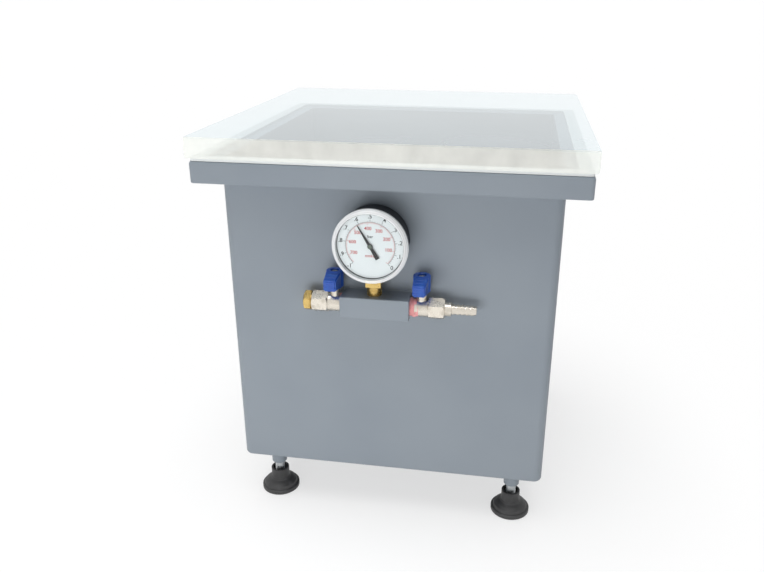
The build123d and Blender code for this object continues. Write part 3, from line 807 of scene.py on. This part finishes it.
@dataclass
class Gauge:
    """The dial's print, the thread that shows under the case and the pointer's boss.

    Fields:
        print_lift: How far the ink stands off the dial.
        arc_half: Half the width of the arcs that join the marks.
        arc_steps: Straight steps in such an arc.
        letter_size: A letter's font size against its height.
        letter_swell: How far its outline grows, against its height.
        thread_low: Where the stem's thread starts, over the block.
        thread_high: Where it ends.
        thread_root: Radius in its grooves.
        thread_crest: Radius on its ridges.
        thread_pitch: Rise of one turn.
    """

    print_lift: float = 0.06 * MM
    arc_half: float = 0.11 * MM
    arc_steps: int = 120
    letter_size: float = 1.5
    letter_swell: float = 0.022
    thread_low: float = 0.4 * MM
    thread_high: float = 8.6 * MM
    thread_root: float = 6.2 * MM
    thread_crest: float = 6.9 * MM
    thread_pitch: float = 1.337 * MM

    def __post_init__(self) -> None:
        """Finds the dial's face."""
        low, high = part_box("gauge_dial")
        self.heart = Vector(((low.x + high.x) / 2, low.y - self.print_lift, (low.z + high.z) / 2))

    def build(self) -> None:
        """Prints the dial and cuts the thread."""
        for scale in SCALES:
            self.print_marks(scale)
        for scale in SCALES:
            self.print_numbers(scale)
        self.cut_thread()
        self.cap_boss()

    def at(self, degrees: float, radius: float) -> Vector:
        """A point on the dial, by its angle clockwise from the top and its radius."""
        turn = math.radians(degrees)
        return self.heart + Vector((radius * math.sin(turn), 0, radius * math.cos(turn)))

    def print_marks(self, scale: Scale) -> None:
        """Prints one scale's marks and the arc that they stand on.

        Args:
            scale: Which scale.
        """
        patches = []
        for step in range(scale.gaps + 1):
            degrees = scale.angle(step / scale.gaps)
            is_long = step % scale.group == 0
            tip = scale.long_tip if is_long else scale.short_tip
            width = scale.long_width if is_long else scale.short_width
            turn = math.radians(degrees)
            side = Vector((math.cos(turn), 0, -math.sin(turn))) * (width / 2)
            inner, outer = (self.at(degrees, radius) for radius in sorted((scale.foot, tip)))
            patches.append((inner - side, inner + side, outer + side, outer - side))
        low, high = scale.foot - self.arc_half, scale.foot + self.arc_half
        angles = sorted(scale.angle(step / self.arc_steps) for step in range(self.arc_steps + 1))
        for first, second in zip(angles, angles[1:]):
            patches.append((self.at(first, low), self.at(second, low),
                            self.at(second, high), self.at(first, high)))
        shape = bmesh.new()
        for patch in patches:
            shape.faces.new([shape.verts.new(corner) for corner in patch])
        new_piece(f"{scale.colour}_scale", shape, scale.ink, CHAMBER, smooth=False)

    def print_numbers(self, scale: Scale) -> None:
        """Prints one scale's numbers and its unit as flat outlines.

        Args:
            scale: Which scale.
        """
        shape = bmesh.new()
        for text, share in scale.numbers:
            self.letter(shape, text, self.at(scale.angle(share), scale.number_radius), scale.number_height)
        self.letter(shape, scale.unit, self.heart + Vector((0, 0, scale.unit_rise)), scale.unit_height)
        new_piece(f"{scale.colour}_numbers", shape, scale.ink, CHAMBER, smooth=False)

    def letter(self, shape: Shape, text: str, place: Vector, height: float) -> None:
        """Adds one word or number, facing the front.

        Args:
            shape: The bmesh to add to.
            text: What it says.
            place: Its middle.
            height: How tall it is.
        """
        curve = bpy.data.curves.new("number", "FONT")
        curve.body = text
        curve.size = height * self.letter_size
        curve.align_x = "CENTER"
        curve.align_y = "CENTER"
        curve.resolution_u = 3
        curve.offset = height * self.letter_swell
        writer = bpy.data.objects.new("number", curve)
        mesh = bpy.data.meshes.new_from_object(writer)
        mesh.transform(Matrix.Translation(place) @ Z_TO_FRONT)
        shape.from_mesh(mesh)
        bpy.data.meshes.remove(mesh)
        bpy.data.objects.remove(writer)
        bpy.data.curves.remove(curve)

    def cut_thread(self) -> None:
        """Adds the thread that shows between the block and the wrench square."""
        block_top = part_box("manifold_block")[1].z
        middle = centre("gauge_socket")
        base = Matrix.Translation((middle.x, middle.y, block_top))
        shape = bmesh.new()
        screw_thread(shape, base, self.thread_low, self.thread_high, self.thread_root, self.thread_crest,
                     self.thread_pitch, 40)
        new_piece("gauge_stem_thread", shape, BRASS, CHAMBER)

    def cap_boss(self) -> None:
        """Adds the pointer's dull domed boss."""
        low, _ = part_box("gauge_needle")
        base = Matrix.Translation((self.heart.x, low.y, self.heart.z)) @ Z_TO_FRONT
        shape = bmesh.new()
        steps = ((-0.65, 2.0), (0.1, 2.0), (0.3, 1.8), (0.45, 1.2), (0.5, 0.9), (0.42, 0.5))
        lathe(shape, [(along * MM, radius * MM) for along, radius in steps], base, 32)
        new_piece("pointer_boss", shape, BOSS_METAL, "needle")


@dataclass
class Window:
    """The gauge's snap-in window: a stepped clear rim and a flat lens.

    Fields:
        rim_inner: Where the rim meets the lens.
        lens_back: The lens's back face over the rim's back.
        lens_thick: The lens's thickness.
        seams: Radius and place along of the rim's two thin black rings, painted shade that stands in for
            the shade in the rim's grooves and the black case seen through the clear rim.
    """

    rim_inner: float = 30.0 * MM
    lens_back: float = 4.8 * MM
    lens_thick: float = 1.4 * MM
    seams: tuple[tuple[float, float], ...] = ((30.25 * MM, 6.42 * MM), (32.35 * MM, 6.15 * MM))

    def build(self) -> None:
        """Turns the rim and the lens in the CAD window's place."""
        low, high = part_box("gauge_window")
        middle = (low + high) / 2
        outer = (high.x - low.x) / 2
        depth = high.y - low.y
        base = Matrix.Translation((middle.x, high.y, middle.z)) @ Z_TO_FRONT
        steps = ((0, 2.75), (0, 0.8), (0.8, 0), (3.9, 0), (4.1, 0.5), (4.5, 0.55), (4.7, 0.35), (5.4, 0.6),
                 (6.3, 1.5), (6.4, 2.0), (6.9, 2.4), (7.0, 2.9), (7.0, 3.3), (6.6, 3.7), (6.3, 4.0),
                 (3.2, 4.0), (3.2, 2.75))
        profile = [(min(along * MM, depth), outer - inset * MM) for along, inset in steps]
        shape = bmesh.new()
        lathe(shape, profile, base, 120, close=True)
        rim = new_piece("gauge_rim", shape, RIM, CHAMBER)
        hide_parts("gauge_window")
        # Painted shade: two thin black rings on the rim stand in for the shade in its grooves and for the
        # black case seen through the clear plastic.
        shape = bmesh.new()
        for radius, along in self.seams:
            outline = ((0, -0.16), (0.12, -0.1), (0.12, 0.1), (0, 0.16))
            lathe(shape, [(along + a * MM, radius + r * MM) for a, r in outline], base, 120, close=True)
        new_piece("gauge_rim_painted_dark_rings", shape, CASE_PAINT, CHAMBER)
        front = self.lens_back + self.lens_thick
        edge = self.rim_inner - 0.05 * MM
        core = 0.02 * MM
        outline = [(self.lens_back, core), (self.lens_back, edge), (front, edge), (front, core)]
        shape = bmesh.new()
        lathe(shape, outline, base, 96)
        new_piece("gauge_lens", shape, LENS, CHAMBER)


@dataclass
class Gasket:
    """The white silicone ring on the flange, cut to the flange's outer part.

    Fields:
        inner: Half the ring's clear width.
        corner: Radius of its inner corners.
        outer_corner: Radius of its outer corners.
    """

    inner: float = 163.0 * MM
    corner: float = 4.0 * MM
    outer_corner: float = 3.5 * MM

    def build(self) -> None:
        """Cuts the ring and puts it in its CAD node's place."""
        low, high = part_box("lid_gasket")
        middle = (low + high) / 2
        half = (high.x - low.x) / 2
        whole_side = 2 * half
        outside = rounded_loop(half, half, self.outer_corner, whole_side)
        inside = rounded_loop(self.inner, self.inner, self.corner, whole_side)
        shape = bmesh.new()
        loops = []
        for loop, height in ((outside, low.z), (outside, high.z), (inside, high.z), (inside, low.z)):
            loops.append([shape.verts.new((middle.x + p.x, middle.y + p.y, height)) for p, _ in loop])
        for first, second in zip(loops, loops[1:] + loops[:1]):
            skin(shape, first, second)
        piece = new_piece("gasket_ring", shape, WHITE_SILICONE, CHAMBER)
        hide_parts("lid_gasket")


@dataclass
class LidPlate:
    """The loose lid: a thick clear plate with sawn and polished edges.

    Fields:
        bevel: The broken edges' width.
        lift: How far its underside clears the gasket, so that the two faces don't share a plane.
    """

    bevel: float = 0.8 * MM
    lift: float = 0.05 * MM

    def build(self) -> None:
        """Cuts the plate and puts it in its CAD node's place."""
        low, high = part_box("lid")
        shape = bmesh.new()
        bmesh.ops.create_cube(shape, size=1.0)
        size = high - low - Vector((0, 0, self.lift))
        middle = (low + high + Vector((0, 0, self.lift))) / 2
        for vertex in shape.verts:
            vertex.co = middle + Vector(v * w for v, w in zip(vertex.co, size))
        bmesh.ops.bevel(shape, geom=list(shape.edges), offset=self.bevel, segments=2, affect="EDGES")
        piece = new_piece("lid_plate", shape, ACRYLIC, CHAMBER)
        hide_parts("lid")


@dataclass
class Lever:
    """One valve's blue lever: a round hub with a screw well and a blunt ribbed nose.

    Fields:
        valve: Which valve.
        reach: From the hub's middle to the nose.
        half_root: Half the arm's width at the hub.
        half_nose: Half its width at the nose.
        hub: The hub's radius.
        well: The screw well's radius.
        bore: Radius of the hole through the hub.
        low: The hub's underside over the pipe.
        nose_low: The nose's underside over the pipe.
        nose_high: The nose's top over the pipe.
        high: The hub's top over the pipe.
        well_floor: The screw well's floor over the pipe.
        top_ribs: Where the ribs on top stand, from the hub's middle.
        nose_ribs: How far under the nose's top its ribs stand.
    """

    valve: Valve
    reach: float = 22.0 * MM
    half_root: float = 6.7 * MM
    half_nose: float = 5.7 * MM
    hub: float = 8.0 * MM
    well: float = 4.0 * MM
    bore: float = 2.6 * MM
    low: float = 16.6 * MM
    nose_low: float = 18.6 * MM
    nose_high: float = 28.6 * MM
    high: float = 32.0 * MM
    well_floor: float = 28.85 * MM
    top_ribs: tuple[float, ...] = (11.5 * MM, 16.5 * MM)
    nose_ribs: tuple[float, ...] = (3.4 * MM, 6.6 * MM)

    def build(self) -> None:
        """Moulds the lever and puts it in its CAD node's place."""
        pipe = centre("manifold_block").z
        screw = centre(f"{self.valve.value}_handle_screw")
        base = Matrix.Translation((screw.x, screw.y, pipe))
        shape = bmesh.new()
        self.mould_arm(shape)
        self.mould_ribs(shape)
        bmesh.ops.transform(shape, matrix=base, verts=shape.verts)
        rounds = [(self.low, self.bore), (self.low, self.hub - 0.3 * MM), (self.low + 0.3 * MM, self.hub),
                  (self.high - 0.9 * MM, self.hub), (self.high - 0.3 * MM, self.hub - 0.3 * MM),
                  (self.high, self.hub - 1.0 * MM), (self.high, self.well + 0.4 * MM),
                  (self.high - 0.4 * MM, self.well), (self.well_floor, self.well),
                  (self.well_floor, self.bore)]
        lathe(shape, rounds, base, 56, close=True)
        name = f"{self.valve.value}_lever"
        piece = new_piece(name, shape, BLUE_PLASTIC, name)
        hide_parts(f"{self.valve.value}_handle")

    def mould_arm(self, shape: Shape) -> None:
        """Adds the arm, with its edges rounded.

        Args:
            shape: The bmesh to add to.
        """
        low = self.low + 0.2 * MM
        sections = ((self.well + 0.6 * MM, self.half_root, low, self.high - 0.4 * MM),
                    (self.hub + 0.6 * MM, self.half_root - 0.1 * MM, low, self.high - 0.6 * MM),
                    (self.reach, self.half_nose, self.nose_low, self.nose_high))
        rings = []
        for forward, half, low, high in sections:
            corners = ((-half, low), (half, low), (half, high), (-half, high))
            rings.append([shape.verts.new((x, -forward, z)) for x, z in corners])
        for first, second in zip(rings, rings[1:]):
            skin(shape, first, second)
        shape.faces.new(rings[0])
        shape.faces.new(rings[-1])
        nose = [edge for edge in shape.edges if any(vertex in rings[-1] for vertex in edge.verts)]
        bmesh.ops.bevel(shape, geom=nose, offset=1.1 * MM, segments=3, affect="EDGES")

    def mould_ribs(self, shape: Shape) -> None:
        """Adds the low grip ribs across the arm's top and down its nose.

        Args:
            shape: The bmesh to add to.
        """
        back_top = self.high - 0.6 * MM
        slope = (self.nose_high - back_top) / (self.reach - self.hub)
        places = [(forward, back_top + (forward - self.hub) * slope) for forward in self.top_ribs]
        places += [(self.reach, self.nose_high - drop) for drop in self.nose_ribs]
        half = self.half_nose - 0.5 * MM
        thin, full, taper = 0.05 * MM, 0.42 * MM, 0.2 * MM
        for forward, height in places:
            base = Matrix.Translation((-half, -forward, height)) @ Z_TO_RIGHT
            lathe(shape, [(0, thin), (taper, full), (2 * half - taper, full), (2 * half, thin)], base, 12)


@dataclass
class Sealant:
    """Lumps of set sealant where the valves screw into the block.

    Fields:
        root: Radius of the male thread.
        swell: Height of the bead over the thread at the block.
        spread: How far the bead runs out along the valve.
        steps: Rings in the bead.
        crumb_reach: How far the crumbs stand from the pipe's middle.
    """

    root: float = 6.5 * MM
    swell: float = 2.1 * MM
    spread: float = 8.4 * MM
    steps: int = 16
    crumb_reach: float = 8.4 * MM

    def lumps(self, along: float, turn: float) -> float:
        """Uneven height of the bead, from the place along it and the angle."""
        wave = math.sin(3 * turn + 700 * along) + 0.6 * math.sin(5 * turn - 1100 * along + 1.3)
        return 0.42 * MM * wave * (0.5 + 0.5 * math.sin(math.pi * min(along / self.spread, 1.0)))

    def build(self) -> None:
        """Makes the pump side's thick bead and the vent side's crumbs."""
        low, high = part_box("pump_thread_sealant")
        middle = (low + high) / 2
        base = Matrix.Translation((low.x, middle.y, middle.z)) @ Z_TO_RIGHT
        gap = 0.02 * MM
        profile = []
        for step in range(self.steps + 1):
            share = step / self.steps
            height = self.swell * (1.0 - 0.05 * share) if step < self.steps else 0.6 * self.swell
            profile.append((gap + share * self.spread, self.root + height))
        profile += [(high.x - low.x, self.root), (gap, self.root)]
        shape = bmesh.new()
        lathe(shape, profile, base, 72, close=True,
              wobble=lambda along, turn: self.lumps(along, turn) if 0.3 * MM < along else 0.0)
        piece = new_piece("pump_sealant_bead", shape, SEALANT, CHAMBER)
        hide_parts("pump_thread_sealant")
        self.crumbs()

    def crumbs(self) -> None:
        """Scatters a few crumbs on top of the vent valve's joint."""
        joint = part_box("manifold_block")[0].x
        body = centre("vent_valve_body")
        pipe_z = centre("manifold_block").z
        dice = random.Random(11)
        shape = bmesh.new()
        for crumb in range(5):
            turn = math.radians(40 + 26 * crumb + dice.uniform(-8, 8))
            size = dice.uniform(0.5, 1.0) * MM
            across, rise = self.crumb_reach * math.cos(turn), self.crumb_reach * math.sin(turn)
            place = Vector((joint - 0.5 * MM, body.y - across, pipe_z + rise))
            stand = Matrix.Translation(place)
            lump = bmesh.ops.create_icosphere(shape, subdivisions=2, radius=size, matrix=stand)
            for vertex in lump["verts"]:
                vertex.co += (vertex.co - place) * dice.uniform(-0.2, 0.2)
        new_piece("vent_sealant_crumbs", shape, SEALANT, CHAMBER)


# ---------------- studio
@dataclass
class Studio:
    """Floor, sky, lamps and camera.

    Fields:
        floor_half: Half the floor's width in metres.
        floor_tone: The floor's tone.
        floor_rough: Its roughness.
        glow: Light that the floor itself gives to the eye.
        glow_share: How much of the floor's look is that glow.
        sky: Strength of the white surround on the object.
        dome: How bright the top of the surround looks, against 1 at the horizon.
        dome_foot: How high the surround starts to darken, where 0 is the horizon and 1 is overhead.
        dome_full: How high it has darkened in full.
        key: Strength of the soft overhead light.
        key_spread: Its width in the sky, in degrees.
        key_way: The way that it shines.
        fill: Watts of the low lamp in front.
        fill_width: The lamp's width in metres.
        fill_place: Where it stands.
        fill_way: The way that it shines.
        lens: The camera's focal length in millimetres.
        shift: How far its picture is shifted right and up, in picture widths.
        yaw: How far it looks round to the right from straight back, in radians.
        pitch: How far it looks down.
        roll: How far it leans.
        stand: Where it stands, with y counted from the tank's middle.
    """

    floor_half: float = 60.0
    floor_tone: float = 0.80
    floor_rough: float = 0.9
    glow: float = 1.15
    glow_share: float = 0.55
    sky: float = 0.34
    dome: float = 0.40
    dome_foot: float = 0.66
    dome_full: float = 0.92
    key: float = 2.1
    key_spread: float = 50.0
    key_way: Triple = (0.10, 0.08, -1.0)
    fill: float = 3.3
    fill_width: float = 0.5
    fill_place: Triple = (-0.12, -0.78, 0.03)
    fill_way: Triple = (0.10, 0.62, 0.03)
    lens: float = 35.11
    shift: tuple[float, float] = (-0.0207, 0.0059)
    yaw: float = -0.161943
    pitch: float = 0.384495
    roll: float = 0.002857
    stand: Triple = (0.11275, -0.78932, 0.51312)

    def build(self) -> None:
        """Sets up the whole studio."""
        self.lay_floor()
        self.light_sky()
        self.hang_key()
        self.stand_fill()
        self.stand_camera()
        bpy.context.scene.view_settings.view_transform = "Standard"

    def lay_floor(self) -> None:
        """Lays the pale floor."""
        shape = bmesh.new()
        bmesh.ops.create_grid(shape, x_segments=1, y_segments=1, size=self.floor_half)
        floor = put_in_scene("floor", mesh_of("floor", shape))
        graph = Graph(bpy.data.materials.new("studio_floor"))
        tone = (self.floor_tone, self.floor_tone, self.floor_tone, 1.0)
        matt = graph.principled({"Base Color": tone, "Roughness": self.floor_rough})
        glow = graph.node("ShaderNodeEmission", None, {"Color": WHITE, "Strength": self.glow})
        look = graph.blend(graph.looking() * self.glow_share, matt, glow)
        floor.data.materials.append(graph.finish(look))

    def light_sky(self) -> None:
        """Makes the white surround: full white to the eye, softer on the object."""
        world = bpy.data.worlds.new("white_surround")
        bpy.context.scene.world = world
        graph = Graph(world)
        way = graph.node("ShaderNodeTexCoord", output="Generated")
        height = graph.node("ShaderNodeSeparateXYZ", None, {"Vector": way}, output="Z")
        stretch = {"Value": height, "From Min": self.dome_foot, "From Max": self.dome_full,
                   "To Min": 1.0, "To Max": self.dome}
        shade = graph.node("ShaderNodeMapRange", None, stretch)
        shine = graph.node("ShaderNodeBackground", None, {"Color": WHITE, "Strength": self.sky})
        seen = graph.node("ShaderNodeBackground", None, {"Color": WHITE, "Strength": shade})
        graph.finish(graph.blend(graph.looking(), shine, seen), "ShaderNodeOutputWorld")

    def hang_key(self) -> None:
        """Hangs the soft light overhead, a little to the left and in front."""
        light = bpy.data.lights.new("key", "SUN")
        light.energy = self.key
        light.angle = math.radians(self.key_spread)
        self.aim(put_in_scene("key", light), self.key_way)

    def stand_fill(self) -> None:
        """Stands the low square lamp in front, which lights the box from its foot upwards."""
        light = bpy.data.lights.new("fill", "AREA")
        light.shape = "SQUARE"
        light.size = self.fill_width
        light.energy = self.fill
        lamp = put_in_scene("fill", light)
        lamp.location = self.fill_place
        self.aim(lamp, self.fill_way)
        lamp.visible_camera = False
        lamp.visible_glossy = False

    @staticmethod
    def aim(lamp: bpy.types.Object, way: Triple) -> None:
        """Turns a lamp to shine one way."""
        lamp.rotation_euler = Vector(way).to_track_quat("-Z", "Y").to_euler()

    def stand_camera(self) -> None:
        """Stands the camera in front, a little right and above, looking down at the gauge side."""
        data = bpy.data.cameras.new("camera")
        data.lens = self.lens
        data.shift_x, data.shift_y = self.shift
        camera = put_in_scene("camera", data)
        level = Vector((math.sin(self.yaw), math.cos(self.yaw), 0))
        ahead = level * math.cos(self.pitch) + DOWN * math.sin(self.pitch)
        right = Vector((math.cos(self.yaw), -math.sin(self.yaw), 0))
        up = right.cross(ahead)
        across = right * math.cos(self.roll) + up * math.sin(self.roll)
        over = up * math.cos(self.roll) - right * math.sin(self.roll)
        turn = Matrix((across, over, -ahead)).transposed().to_4x4()
        place = Vector(self.stand) + Vector((0, centre("tank_shell").y, 0))
        camera.matrix_world = Matrix.Translation(place) @ turn
        bpy.context.scene.camera = camera


def dress_nodes() -> None:
    """Gives every CAD node the finish of its material slot."""
    slots = {row["node"]: row["material_slot"] for row in frame["record"]["subparts"]}
    for node, thing in frame["nodes"].items():
        thing.data.materials.clear()
        thing.data.materials.append(CAD_FINISHES[slots[node]].material())


def main() -> None:
    """Builds the scene."""
    logging.basicConfig(level=logging.INFO, format="%(name)s %(message)s")
    dress_nodes()
    Tank().build()
    for foot in Foot:
        LevellingStud(foot).build()
    Gauge().build()
    Window().build()
    for valve in Valve:
        Lever(valve).build()
    Sealant().build()
    Gasket().build()
    LidPlate().build()
    Studio().build()


if __name__ == "__main__":
    main()
